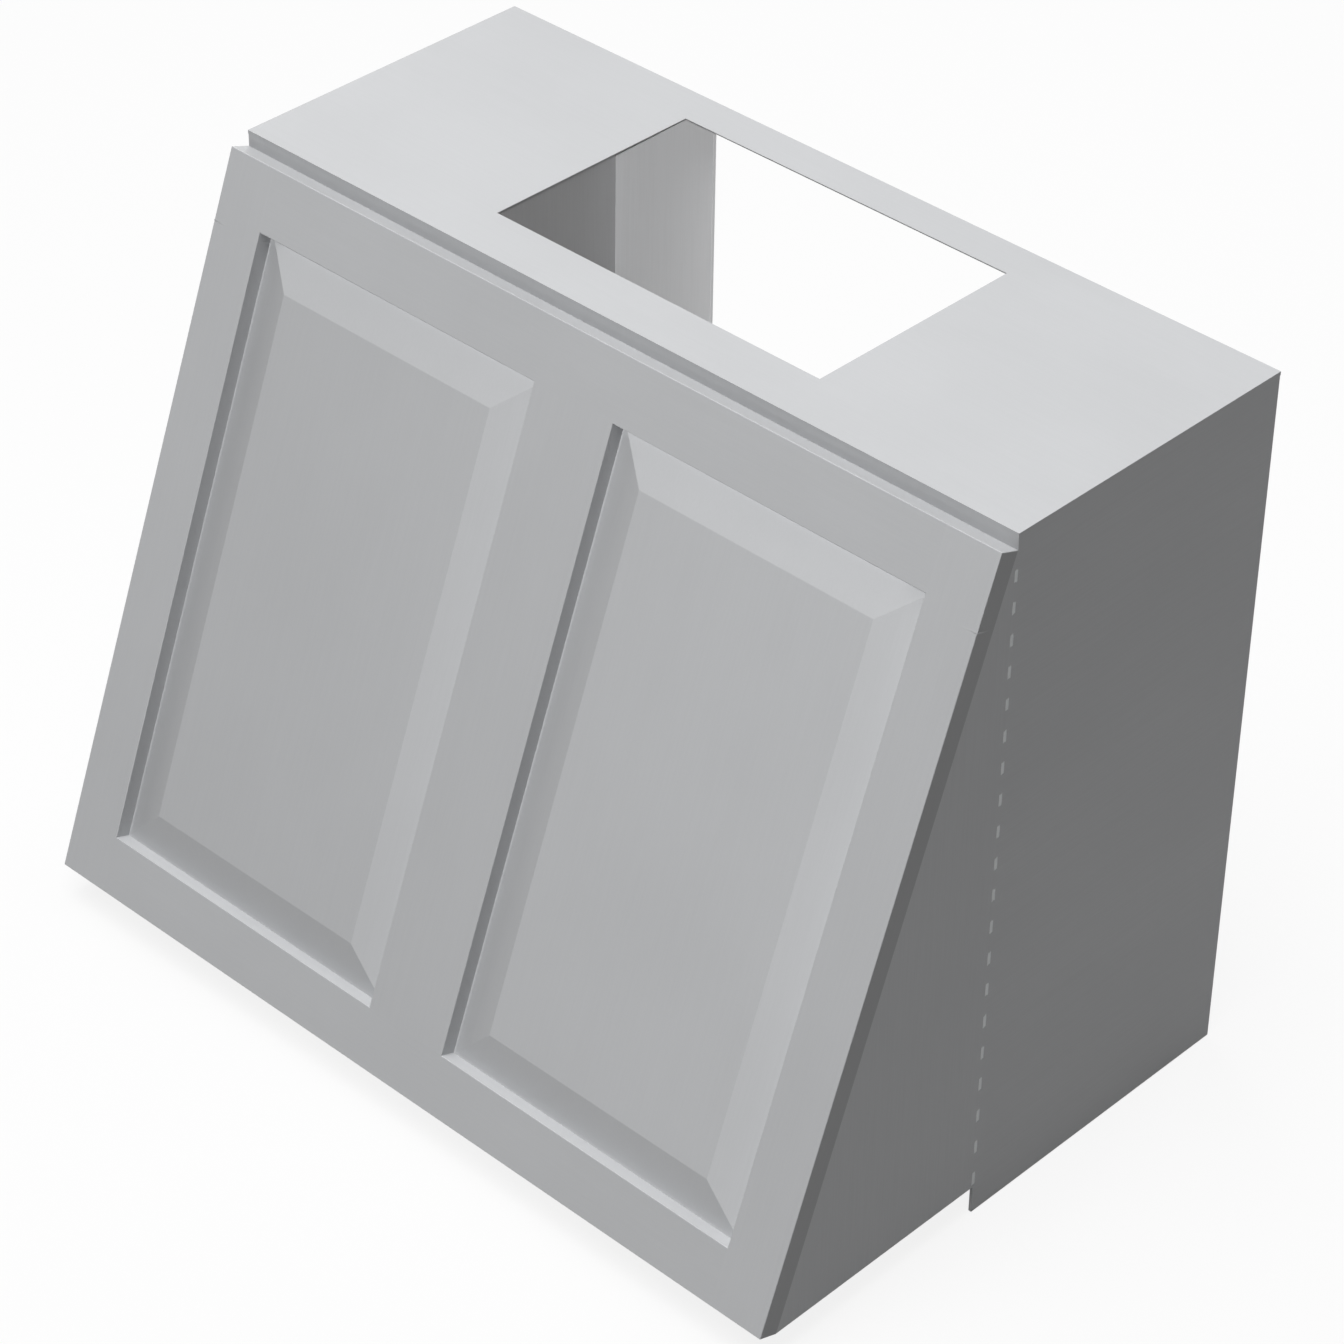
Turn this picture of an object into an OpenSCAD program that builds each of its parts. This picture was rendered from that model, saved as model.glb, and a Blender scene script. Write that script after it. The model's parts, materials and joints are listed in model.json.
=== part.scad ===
// Wooden range hood cover: a shallow plywood box with a duct cut-out in its top
// and an open back, and in front of it a sloped frame with two raised panels,
// closed at the sides by three-cornered wings. X runs to the right, Y to the
// wall and Z up. The origin is on the floor plane, midway in width and in depth.

/* [Cover] */
// Width over the two outer side faces
cover_w = 762; // [680:1:1220]
// Height of the box
cover_h = 610; // [520:1:900]
// Depth of the box, from the wall to its front edge
box_d = 282; // [270:1:420]
// Clear gap between each box side and the partition beside it
bay_w = 86; // [45:1:140]

/* [Duct] */
// Width of the duct cut-out, and of the opening in the back
duct_w = 320; // [150:1:380]
// Depth of the duct cut-out, front to back
duct_d = 200; // [120:1:220]
// Strip of top left between the duct cut-out and the wall
duct_back = 35; // [30:1:60]

/* [Sloped front] */
// Lean of the front from upright, in degrees
front_slope = 20.5; // [14:0.5:26]
// Height of box face left showing above the sloped frame
band_h = 13.5; // [6:0.5:40]
// Height of the wings' lower edges above the bottom of the box
front_lift = 25; // [22:1:60]
// Thickness of the frame's boards
frame_t = 18; // [16:0.5:25]
// Width of the left and right stiles
stile_w = 48.5; // [44:0.5:80]
// Width of the centre stile
centre_stile_w = 78.5; // [64:0.5:120]
// Width of the top rail
top_rail_w = 51; // [46:0.5:90]
// Width of the bottom rail
bottom_rail_w = 48; // [44:0.5:90]

/* [Raised panels] */
// Full thickness of a raised panel at its field
panel_t = 15; // [11:0.5:16]
// Thickness of the thin tongue round a panel
tongue_t = 4; // [3:0.5:6]
// Width of the slanting margin between tongue and field
bevel_w = 35; // [20:0.5:50]
// Flat of the tongue that shows inside the frame
tongue_show = 1; // [0.5:0.1:3]
// Width of the rabbet that the tongue lies in
rabbet_w = 9; // [7:0.5:12]
// Gap round the tongue that lets a panel swell and shrink
panel_float = 1.5; // [0.5:0.1:3]

/* [Boards] */
// Thickness of the box sides and of the wings
side_t = 18; // [16:0.5:22]
// Thickness of the lip that shows at a box side's front foot, below the wing
lip_t = 3; // [2:0.5:6]
// Depth of the relief behind that lip, from the side's front edge
lip_d = 30; // [20:1:60]
// Thickness of the top skin
top_t = 3.2; // [2.5:0.1:6]
// Thickness of the back skins
back_t = 3.2; // [2.5:0.1:6]
// Thickness of the partitions
partition_t = 12; // [11:0.5:18]
// Thickness of the bay floors
floor_t = 12; // [9:0.5:13]
// Height of the bay floors and liner ledgers above the bottom edge
floor_up = 12; // [6:0.5:18]
// Thickness of the front rail and the hanging rails
rail_t = 18; // [16:0.5:22]
// Height of the front rail and the hanging rails
rail_h = 76; // [64:1:100]
// Thickness of the cleats behind the front
cleat_t = 19; // [16:0.5:24]
// How far a cleat laps past the edge of the frame, behind a panel
cleat_lap = 7; // [4:0.5:12]
// Width of the upright cleats that bridge the seams
seam_cleat_w = 76; // [50:1:100]
// Thickness of the liner ledgers
ledger_t = 19; // [16:0.5:25]
// Height of the liner ledgers
ledger_h = 38; // [25:1:50]
// Side of the square batten under the rear strip of the top
batten_w = 12; // [10:0.5:14]

/* [Joints and fixings] */
// Depth of the dados that hold the bay floors
dado_d = 4; // [3:0.5:6]
// Width of the rabbets that the back skins lie in
back_rabbet_w = 9; // [6:0.5:12]
// Diameter of the dowels
dowel_d = 8; // [6:0.5:9]
// Dowel depth in the edges of frame boards, and in rail and cleat ends
dowel_deep = 20; // [15:1:26]
// Dowel depth in the faces of box sides and wings
dowel_shallow = 10; // [8:0.5:13]
// Diameter of the screws
screw_d = 4; // [3:0.5:5]
// Depth that a screw bites into the board it holds
screw_bite = 11; // [8:0.5:14]
// Distance between the studs that the lower wall screws meet
stud_gap = 406.4; // [350:0.1:450]
// Diameter of the holes for the wall screws
wall_hole_d = 6; // [5:0.5:8]
// Diameter of the pilot holes for the liner's screws
liner_hole_d = 3; // [2:0.5:4]

/* [Hidden] */
$fn = 48;

// How far every cut runs past the face that it opens
overrun = 1;
// Gap round a screw, a pin and a dowel in its hole
screw_gap = 0.15;
pin_gap = 0.1;
dowel_gap = 0.1;
// Gap left in front of a panel's tongue, so that the cleats hold it without strain
tongue_gap = 0.2;
// Gap between the end of one cleat and the next piece
end_gap = 2;

// Colours of the finishes
paint = [0.69, 0.70, 0.70];
paint_shade = [0.62, 0.63, 0.63];
bare_wood = [0.80, 0.67, 0.48];
beech = [0.86, 0.72, 0.52];
zinc = [0.72, 0.73, 0.75];

// The sloped front's back plane meets the box front at z_front, and its lower
// corner is level with the wings' lower edges
z_front = cover_h - band_h;
front_len = (z_front - front_lift) / cos(front_slope);
front_reach = front_len * sin(front_slope) + frame_t * cos(front_slope);
depth_all = box_d + front_reach;
y_wall = depth_all / 2;
y_box = y_wall - box_d;

// Faces inside the box
z_top = cover_h - top_t;
y_skin = y_wall - back_t;
y_rail = y_skin - rail_t;
x_side = cover_w / 2 - side_t;
x_bay = x_side - bay_w;
x_insert = x_bay - partition_t;
z_floor = floor_up + floor_t;

// The frame's openings
x_stile = cover_w / 2 - stile_w;
x_centre = centre_stile_w / 2;
z_opening_top = -top_rail_w;
z_opening_low = -front_len + bottom_rail_w;
rabbet_d = tongue_t + tongue_gap;
tongue_in = rabbet_w - panel_float;

// Cleats behind the frame, in the slope's own directions
bottom_cleat_up = 16;
wedge_start = 12;
wedge_low = top_rail_w + cleat_lap;
cleat_top = -max(wedge_low, cleat_t / tan(front_slope)) - end_gap;
cleat_low = z_opening_low + cleat_lap;
x_cleat = x_stile - cleat_lap;

// Seam cleats stop where they would meet the sloped cleats
seam_cleat_up = 15;
seam_low = max(front_lift, z_floor) + seam_cleat_up;
seam_clear = seam_cleat_w / 2 + cleat_t / cos(front_slope) + end_gap;
seam_top = z_front - seam_clear / tan(front_slope);

// Screws
head_d = 2 * screw_d;
head_h = 2.4;
drive_w = 2.2;
drive_h = 1.2;
screw_tip = 1.5 * screw_d;
screw_len = cleat_t + screw_bite;
wing_screw_len = x_side - x_cleat + screw_bite;
ledger_bite = 8;
ledger_screw_len = ledger_t + ledger_bite;
// The top screws pass the front rail and the wedge into the frame's top rail
top_screw_down = (top_rail_w - rabbet_w) / 2 + wedge_start / 4;
top_screw_z = z_front - top_screw_down * cos(front_slope);
top_screw_len = rail_t + top_screw_down * sin(front_slope) + screw_bite;
screw_in = side_t + (stile_w - rabbet_w - side_t) / 2;
bottom_screw_up = (bottom_cleat_up + bottom_rail_w - rabbet_w) / 2;

// Pins
pin_d = 1.6;
pin_len = 22;
pin_head_d = 3;
pin_head_h = 1;
// Depth that a pin's head is set below the face, where filler covers it
pin_set = 0.6;
pin_in = side_t / 2;

// Liner ledgers
ledger_setback = 12;
liner_hole_deep = 25;

// Where fixings sit, as shares of the length that they are spread over
stile_screw_shares = [0.16, 0.38, 0.60, 0.82];
wing_screw_shares = [0.27, 0.49, 0.71];
centre_screw_shares = [0.18, 0.50, 0.82];
cross_screw_shares = [-0.40, -0.22, 0.22, 0.40];
seam_screw_shares = [0.08, 0.50, 0.92];
ledger_screw_shares = [0.15, 0.50, 0.85];
liner_hole_shares = [0.30, 0.70];
side_pin_shares = [0.06, 0.35, 0.65, 0.94];
front_pin_shares = [-0.42, -0.21, 0, 0.21, 0.42];
back_pin_shares = [0.15, 0.50, 0.85];
dowel_shares = [0.25, 0.65];
rail_dowel_shares = [0.30, 0.75];
centre_dowel_share = 0.22;

// A plain board between two opposite corners
module board(low, high) {
  translate(low) cube(high - low);
}

// A board cut to an outline of depth and height, running from one width to another
module profile_board(outline, x_from, x_to) {
  translate([x_from, 0, 0])
    rotate([90, 0, 90])
      linear_extrude(x_to - x_from) polygon(outline);
}

// Every left-hand piece is the mirror image of its right-hand twin
module mirrored() {
  mirror([1, 0, 0]) children();
}

module both_sides() {
  children();
  mirrored() children();
}

// The slope's own directions: z runs up the slope, -y out of its face, and the
// origin is where the frame's back meets the box front
module on_slope() {
  translate([0, y_box, z_front]) rotate([-front_slope, 0, 0]) children();
}

// Fixings, each starting at the face that it enters and running along +z

module screw(length) {
  difference() {
    union() {
      cylinder(d = screw_d, h = length - screw_tip);
      translate([0, 0, length - screw_tip]) cylinder(d1 = screw_d, d2 = 0, h = screw_tip);
      translate([0, 0, -head_h]) cylinder(d = head_d, h = head_h);
    }
    translate([-drive_w / 2, -drive_w / 2, -head_h - overrun])
      cube([drive_w, drive_w, drive_h + overrun]);
  }
}

module screw_hole(length) {
  translate([0, 0, -overrun])
    cylinder(d = screw_d + 2 * screw_gap, h = length + screw_gap + overrun);
}

module pin(length) {
  translate([0, 0, pin_set]) {
    translate([0, 0, pin_head_h]) cylinder(d = pin_d, h = length - pin_head_h);
    cylinder(d = pin_head_d, h = pin_head_h);
  }
}

module pin_hole(length) {
  translate([0, 0, pin_set + pin_head_h])
    cylinder(d = pin_d + 2 * pin_gap, h = length - pin_head_h + pin_gap);
  translate([0, 0, -overrun])
    cylinder(d = pin_head_d + 2 * pin_gap, h = pin_set + pin_head_h + overrun);
}

// A dowel lies along z, low_end below the joint and high_end above it
module dowel(low_end, high_end) {
  translate([0, 0, -low_end]) cylinder(d = dowel_d, h = low_end + high_end);
}

module dowel_hole(low_end, high_end) {
  translate([0, 0, -low_end])
    cylinder(d = dowel_d + 2 * dowel_gap, h = low_end + high_end);
}

// Places of the fixings

module frame_dowel_places() {
  y_dowel = -(frame_t + rabbet_d) / 2;
  for (share = dowel_shares) both_sides() {
    on_slope() translate([x_stile, y_dowel, -top_rail_w * share])
      rotate([0, 90, 0]) children();
    on_slope() translate([x_stile, y_dowel, -front_len + bottom_rail_w * share])
      rotate([0, 90, 0]) children();
  }
  both_sides() {
    on_slope() translate([centre_stile_w * centre_dowel_share, y_dowel, z_opening_top])
      children();
    on_slope() translate([centre_stile_w * centre_dowel_share, y_dowel, z_opening_low])
      children();
  }
}

module rail_dowel_places() {
  for (share = rail_dowel_shares) both_sides() {
    translate([x_side, y_box + rail_t / 2, z_top - rail_h * share])
      rotate([0, 90, 0]) children();
    translate([x_side, y_rail + rail_t / 2, z_top - rail_h * share])
      rotate([0, 90, 0]) children();
    translate([x_side, y_rail + rail_t / 2, floor_up + rail_h * share])
      rotate([0, 90, 0]) children();
  }
  both_sides()
    on_slope()
      translate([x_side, cleat_t / 2, (-front_len + bottom_cleat_up + cleat_low) / 2])
        rotate([0, 90, 0]) children();
}

module stile_screw_places() {
  for (share = stile_screw_shares)
    both_sides()
      on_slope()
        translate([cover_w / 2 - screw_in, cleat_t, -front_len * share])
          rotate([90, 0, 0]) children();
}

module centre_screw_places() {
  for (share = centre_screw_shares)
    on_slope() translate([0, cleat_t, -front_len * share]) rotate([90, 0, 0]) children();
}

module bottom_screw_places() {
  for (share = cross_screw_shares)
    on_slope()
      translate([cover_w * share, cleat_t, -front_len + bottom_screw_up])
        rotate([90, 0, 0]) children();
}

module top_screw_places() {
  for (share = cross_screw_shares)
    translate([cover_w * share, y_box + rail_t, top_screw_z]) rotate([90, 0, 0]) children();
}

module wing_screw_places() {
  for (share = wing_screw_shares)
    both_sides()
      on_slope()
        translate([x_cleat, cleat_t / 2, -front_len * share])
          rotate([0, 90, 0]) children();
}

module seam_screw_places() {
  for (share = seam_screw_shares, row = [-1, 1])
    both_sides()
      translate([
        x_side - cleat_t,
        y_box + row * seam_cleat_w / 4,
        seam_low + (seam_top - seam_low) * share
      ])
        rotate([0, 90, 0]) children();
}

module ledger_screw_places() {
  for (share = ledger_screw_shares)
    both_sides()
      translate([
        x_insert - ledger_t,
        y_box + (y_rail - y_box) * share,
        floor_up + ledger_h / 2
      ])
        rotate([0, 90, 0]) children();
}

module liner_hole_places() {
  for (share = liner_hole_shares)
    both_sides()
      translate([x_insert - ledger_t / 2, y_box + (y_rail - y_box) * share, floor_up])
        children();
}

module wall_hole_places() {
  both_sides() {
    translate([stud_gap / 2, y_rail, floor_up + rail_h / 2]) rotate([-90, 0, 0]) children();
    translate([x_bay + bay_w / 2, y_rail, z_top - rail_h / 2])
      rotate([-90, 0, 0]) children();
  }
}

module wall_holes() {
  wall_hole_places()
    translate([0, 0, -overrun])
      cylinder(d = wall_hole_d, h = rail_t + back_t + 2 * overrun);
}

module top_pin_places() {
  for (share = side_pin_shares)
    both_sides()
      translate([cover_w / 2 - pin_in, y_box + box_d * share, cover_h])
        rotate([180, 0, 0]) children();
  for (share = front_pin_shares)
    translate([cover_w * share, y_box + rail_t / 2, cover_h]) rotate([180, 0, 0]) children();
}

// One pin at each end sits between a hanging rail's dowels, and the rest are
// spread over the height between the rails
module back_pin_places() {
  rail_middle = rail_h * (rail_dowel_shares[0] + rail_dowel_shares[1]) / 2;
  z_rail_low = floor_up + rail_h;
  z_rail_high = z_top - rail_h;
  z_between = [for (share = back_pin_shares) z_rail_low + (z_rail_high - z_rail_low) * share];
  z_pins = concat([floor_up + rail_middle], z_between, [z_top - rail_middle]);
  for (x_pin = [x_bay - partition_t / 2, x_side + back_rabbet_w / 2], z_pin = z_pins)
    both_sides() translate([x_pin, y_wall, z_pin]) rotate([90, 0, 0]) children();
}

// The box

module box_side() {
  difference() {
    board([x_side, y_box, 0], [cover_w / 2, y_wall, z_top]);
    board(
      [x_side - overrun, y_skin, -overrun],
      [x_side + back_rabbet_w, y_wall + overrun, z_top + overrun]
    );
    board([x_side - overrun, y_box - overrun, floor_up], [x_side + dado_d, y_rail, z_floor]);
    board(
      [x_side - overrun, y_box - overrun, -overrun],
      [cover_w / 2 - lip_t, y_box + lip_d, front_lift]
    );
    rail_dowel_places() dowel_hole(dowel_deep, dowel_shallow);
    seam_screw_places() screw_hole(screw_len);
    top_pin_places() pin_hole(pin_len);
    back_pin_places() pin_hole(pin_len);
  }
}

module right_box_side() {
  color(paint) box_side();
}

module left_box_side() {
  color(paint) mirrored() box_side();
}

module top_panel() {
  color(paint)
    difference() {
      board([-cover_w / 2, y_box, z_top], [cover_w / 2, y_wall, cover_h]);
      board(
        [-duct_w / 2, y_wall - duct_back - duct_d, z_top - overrun],
        [duct_w / 2, y_wall - duct_back, cover_h + overrun]
      );
      top_pin_places() pin_hole(pin_len);
    }
}

module front_top_rail() {
  color(paint)
    difference() {
      board([-x_side, y_box, z_top - rail_h], [x_side, y_box + rail_t, z_top]);
      rail_dowel_places() dowel_hole(dowel_deep, dowel_shallow);
      top_screw_places() screw_hole(top_screw_len);
      top_pin_places() pin_hole(pin_len);
    }
}

module rear_top_batten() {
  color(bare_wood)
    board([-x_bay, y_skin - batten_w, z_top - batten_w], [x_bay, y_skin, z_top]);
}

module partition() {
  difference() {
    board([x_insert, y_box, floor_up], [x_bay, y_skin, z_top]);
    board(
      [x_insert - overrun, y_box - overrun, z_top - rail_h],
      [x_bay + overrun, y_box + rail_t, z_top + overrun]
    );
    board(
      [x_insert - overrun, y_skin - batten_w, z_top - batten_w],
      [x_bay + overrun, y_skin + overrun, z_top + overrun]
    );
    board(
      [x_insert - overrun, y_rail, floor_up - overrun],
      [x_bay + overrun, y_skin + overrun, floor_up + rail_h]
    );
    board([x_bay - dado_d, y_box - overrun, floor_up - overrun], [x_bay + overrun, y_rail, z_floor]);
    ledger_screw_places() screw_hole(ledger_screw_len);
    back_pin_places() pin_hole(pin_len);
  }
}

module right_partition() {
  color(paint_shade) partition();
}

module left_partition() {
  color(paint_shade) mirrored() partition();
}

module bay_floor() {
  board([x_bay - dado_d, y_box, floor_up], [x_side + dado_d, y_rail, z_floor]);
}

module right_bay_floor() {
  color(paint_shade) bay_floor();
}

module left_bay_floor() {
  color(paint_shade) mirrored() bay_floor();
}

module back_panel() {
  difference() {
    board([duct_w / 2, y_skin, 0], [x_side + back_rabbet_w, y_wall, z_top]);
    wall_holes();
    back_pin_places() pin_hole(pin_len);
  }
}

module right_back_panel() {
  color(paint_shade) back_panel();
}

module left_back_panel() {
  color(paint_shade) mirrored() back_panel();
}

module lower_hanging_rail() {
  color(bare_wood)
    difference() {
      board([-x_side, y_rail, floor_up], [x_side, y_skin, floor_up + rail_h]);
      rail_dowel_places() dowel_hole(dowel_deep, dowel_shallow);
      wall_holes();
      back_pin_places() pin_hole(pin_len);
    }
}

module upper_hanging_rail() {
  difference() {
    board([x_bay, y_rail, z_top - rail_h], [x_side, y_skin, z_top]);
    rail_dowel_places() dowel_hole(dowel_deep, dowel_shallow);
    wall_holes();
    back_pin_places() pin_hole(pin_len);
  }
}

module right_upper_hanging_rail() {
  color(bare_wood) upper_hanging_rail();
}

module left_upper_hanging_rail() {
  color(bare_wood) mirrored() upper_hanging_rail();
}

module liner_ledger() {
  difference() {
    board(
      [x_insert - ledger_t, y_box + ledger_setback, floor_up],
      [x_insert, y_rail - ledger_setback, floor_up + ledger_h]
    );
    ledger_screw_places() screw_hole(ledger_screw_len);
    liner_hole_places()
      translate([0, 0, -overrun]) cylinder(d = liner_hole_d, h = liner_hole_deep + overrun);
  }
}

module right_liner_ledger() {
  color(bare_wood) liner_ledger();
}

module left_liner_ledger() {
  color(bare_wood) mirrored() liner_ledger();
}

// The wings and the cleats

module side_wing() {
  difference() {
    profile_board(
      [
        [y_box, front_lift],
        [y_box, z_front],
        [y_box - front_len * sin(front_slope), front_lift]
      ],
      x_side, cover_w / 2
    );
    rail_dowel_places() dowel_hole(dowel_deep, dowel_shallow);
    wing_screw_places() screw_hole(wing_screw_len);
    seam_screw_places() screw_hole(screw_len);
  }
}

module right_side_wing() {
  color(paint) side_wing();
}

module left_side_wing() {
  color(paint) mirrored() side_wing();
}

module seam_cleat() {
  difference() {
    board(
      [x_side - cleat_t, y_box - seam_cleat_w / 2, seam_low],
      [x_side, y_box + seam_cleat_w / 2, seam_top]
    );
    seam_screw_places() screw_hole(screw_len);
  }
}

module right_seam_cleat() {
  color(bare_wood) seam_cleat();
}

module left_seam_cleat() {
  color(bare_wood) mirrored() seam_cleat();
}

module front_cleat() {
  difference() {
    on_slope() board([x_cleat, 0, cleat_low], [x_side, cleat_t, cleat_top]);
    stile_screw_places() screw_hole(screw_len);
    wing_screw_places() screw_hole(wing_screw_len);
  }
}

module right_front_cleat() {
  color(bare_wood) front_cleat();
}

module left_front_cleat() {
  color(bare_wood) mirrored() front_cleat();
}

module centre_front_cleat() {
  x_lap = x_centre + cleat_lap;
  color(bare_wood)
    difference() {
      on_slope() board([-x_lap, 0, cleat_low], [x_lap, cleat_t, cleat_top]);
      centre_screw_places() screw_hole(screw_len);
    }
}

module bottom_front_cleat() {
  color(bare_wood)
    difference() {
      on_slope()
        board([-x_side, 0, -front_len + bottom_cleat_up], [x_side, cleat_t, cleat_low]);
      rail_dowel_places() dowel_hole(dowel_deep, dowel_shallow);
      bottom_screw_places() screw_hole(screw_len);
    }
}

// A tapered strip that fills the corner between the sloped frame and the upright rail
module top_front_wedge() {
  z_high = z_front - wedge_start * cos(front_slope);
  z_low = z_front - wedge_low * cos(front_slope);
  color(bare_wood)
    difference() {
      profile_board(
        [
          [y_box, z_low],
          [y_box, z_high],
          [y_box - wedge_start * sin(front_slope), z_high],
          [y_box - wedge_low * sin(front_slope), z_low]
        ],
        -x_side, x_side
      );
      top_screw_places() screw_hole(top_screw_len);
    }
}

// The sloped frame

// The pockets in the frame's back that the panels' tongues lie in
module rabbets() {
  on_slope()
    both_sides()
      board(
        [x_centre - rabbet_w, -rabbet_d, z_opening_low - rabbet_w],
        [x_stile + rabbet_w, overrun, z_opening_top + rabbet_w]
      );
}

module frame_cuts() {
  rabbets();
  frame_dowel_places() dowel_hole(dowel_deep, dowel_deep);
  stile_screw_places() screw_hole(screw_len);
  centre_screw_places() screw_hole(screw_len);
  bottom_screw_places() screw_hole(screw_len);
  top_screw_places() screw_hole(top_screw_len);
}

module stile() {
  difference() {
    on_slope() board([x_stile, -frame_t, -front_len], [cover_w / 2, 0, 0]);
    frame_cuts();
  }
}

module right_stile() {
  color(paint) stile();
}

module left_stile() {
  color(paint) mirrored() stile();
}

module centre_stile() {
  color(paint)
    difference() {
      on_slope() board([-x_centre, -frame_t, z_opening_low], [x_centre, 0, z_opening_top]);
      frame_cuts();
    }
}

module frame_top_rail() {
  color(paint)
    difference() {
      on_slope() board([-x_stile, -frame_t, z_opening_top], [x_stile, 0, 0]);
      frame_cuts();
    }
}

module frame_bottom_rail() {
  color(paint)
    difference() {
      on_slope() board([-x_stile, -frame_t, -front_len], [x_stile, 0, z_opening_low]);
      frame_cuts();
    }
}

// A panel's thickness across one of its directions: thin tongues at both ends,
// slanting margins, and the flat field between them
function panel_profile(low, high) = [
  [low - tongue_in, 0],
  [low - tongue_in, tongue_t],
  [low + tongue_show, tongue_t],
  [low + tongue_show + bevel_w, panel_t],
  [high - tongue_show - bevel_w, panel_t],
  [high - tongue_show, tongue_t],
  [high + tongue_in, tongue_t],
  [high + tongue_in, 0]
];

// The two profiles crossed give the mitred margins
module raised_panel() {
  across = panel_profile(x_centre, x_stile);
  along = panel_profile(z_opening_low, z_opening_top);
  on_slope()
    intersection() {
      translate([0, 0, z_opening_low - rabbet_w])
        linear_extrude(z_opening_top - z_opening_low + 2 * rabbet_w)
          polygon([for (p = across) [p[0], -p[1]]]);
      profile_board(
        [for (p = along) [-p[1], p[0]]],
        x_centre - rabbet_w, x_stile + rabbet_w
      );
    }
}

module right_raised_panel() {
  color(paint) raised_panel();
}

module left_raised_panel() {
  color(paint) mirrored() raised_panel();
}

// Fixings

module frame_dowels() {
  color(beech) frame_dowel_places() dowel(dowel_deep, dowel_deep);
}

module rail_dowels() {
  color(beech) rail_dowel_places() dowel(dowel_deep, dowel_shallow);
}

module front_screws() {
  color(zinc) {
    stile_screw_places() screw(screw_len);
    centre_screw_places() screw(screw_len);
    bottom_screw_places() screw(screw_len);
    top_screw_places() screw(top_screw_len);
  }
}

module wing_screws() {
  color(zinc) wing_screw_places() screw(wing_screw_len);
}

module seam_screws() {
  color(zinc) seam_screw_places() screw(screw_len);
}

module ledger_screws() {
  color(zinc) ledger_screw_places() screw(ledger_screw_len);
}

module top_pins() {
  color(zinc) top_pin_places() pin(pin_len);
}

module back_pins() {
  color(zinc) back_pin_places() pin(pin_len);
}

left_box_side();
right_box_side();
top_panel();
front_top_rail();
rear_top_batten();
left_partition();
right_partition();
left_bay_floor();
right_bay_floor();
left_back_panel();
right_back_panel();
lower_hanging_rail();
left_upper_hanging_rail();
right_upper_hanging_rail();
left_liner_ledger();
right_liner_ledger();
left_side_wing();
right_side_wing();
left_seam_cleat();
right_seam_cleat();
left_front_cleat();
right_front_cleat();
centre_front_cleat();
top_front_wedge();
bottom_front_cleat();
left_stile();
right_stile();
centre_stile();
frame_top_rail();
frame_bottom_rail();
left_raised_panel();
right_raised_panel();
frame_dowels();
rail_dowels();
front_screws();
wing_screws();
seam_screws();
ledger_screws();
top_pins();
back_pins();
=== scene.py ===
import json
import math

import bmesh
import bpy
from mathutils import Matrix, Vector
from mathutils.bvhtree import BVHTree

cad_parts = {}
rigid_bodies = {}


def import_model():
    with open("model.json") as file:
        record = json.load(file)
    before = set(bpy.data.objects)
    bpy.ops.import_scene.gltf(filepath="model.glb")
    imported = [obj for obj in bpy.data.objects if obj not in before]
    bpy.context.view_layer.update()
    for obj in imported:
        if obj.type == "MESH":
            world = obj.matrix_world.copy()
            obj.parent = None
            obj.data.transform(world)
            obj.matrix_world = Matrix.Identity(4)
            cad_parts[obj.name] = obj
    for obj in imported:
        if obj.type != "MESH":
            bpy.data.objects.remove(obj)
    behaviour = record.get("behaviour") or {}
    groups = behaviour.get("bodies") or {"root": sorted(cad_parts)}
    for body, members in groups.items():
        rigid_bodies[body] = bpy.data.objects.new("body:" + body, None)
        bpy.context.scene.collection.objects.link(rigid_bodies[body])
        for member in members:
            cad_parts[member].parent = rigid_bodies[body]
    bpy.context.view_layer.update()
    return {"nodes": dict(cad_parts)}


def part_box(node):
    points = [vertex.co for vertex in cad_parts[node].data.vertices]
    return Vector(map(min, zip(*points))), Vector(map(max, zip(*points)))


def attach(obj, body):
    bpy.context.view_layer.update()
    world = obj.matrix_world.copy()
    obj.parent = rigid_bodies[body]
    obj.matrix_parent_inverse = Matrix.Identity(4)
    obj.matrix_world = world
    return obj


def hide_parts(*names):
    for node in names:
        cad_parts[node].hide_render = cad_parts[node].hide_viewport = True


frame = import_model()

# Box sides
# Two upright boards of 18 mm furniture plywood with a sanded outer veneer, joined to the
# rest of the box by rabbets, glue and pins. They are filled, primed and sprayed a mid
# grey satin, and their free arrises are eased by hand, so each one catches the light.

MM = 0.001
level_x = Vector((1, 0, 0))
level_y = Vector((0, 1, 0))
upright = Vector((0, 0, 1))
fixings = {
    "frame_dowels",
    "rail_dowels",
    "front_screws",
    "wing_screws",
    "seam_screws",
    "ledger_screws",
    "top_pins",
    "back_pins",
}
board_trees = {
    name: BVHTree.FromPolygons(
        [v.co for v in node.data.vertices], [p.vertices for p in node.data.polygons]
    )
    for name, node in frame["nodes"].items()
    if name not in fixings
}
touch_gap = 0.06 * MM
look_step = 2 * MM
look_shares = (0.04, 0.3, 0.5, 0.7, 0.96)
halvings = 9
merge_gap = 0.001 * MM
flat_angle = math.radians(0.5)
shortest_arris = 3 * MM
arris_angle = math.radians(8)
sharp_angle = math.radians(34)
hole_facet = 40 * MM * MM
round_steps = 3
# How much of the arris lightening, rubbed wear and painted highlight, reaches the fringe of a
# rounding.
fringe_wear_and_highlight = 0.35


def boards_against(node):
    """The surfaces of the other boards whose boxes meet this one's."""
    low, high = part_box(node)
    near = []
    for name, tree in board_trees.items():
        other_low, other_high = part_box(name)
        apart = any(
            other_low[k] > high[k] + touch_gap or other_high[k] < low[k] - touch_gap
            for k in range(3)
        )
        if name != node and not apart:
            near.append(tree)
    return near


def is_covered(point, near):
    """True where another board lies against this point."""
    return any(tree.find_nearest(point, touch_gap)[0] is not None for tree in near)


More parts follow.
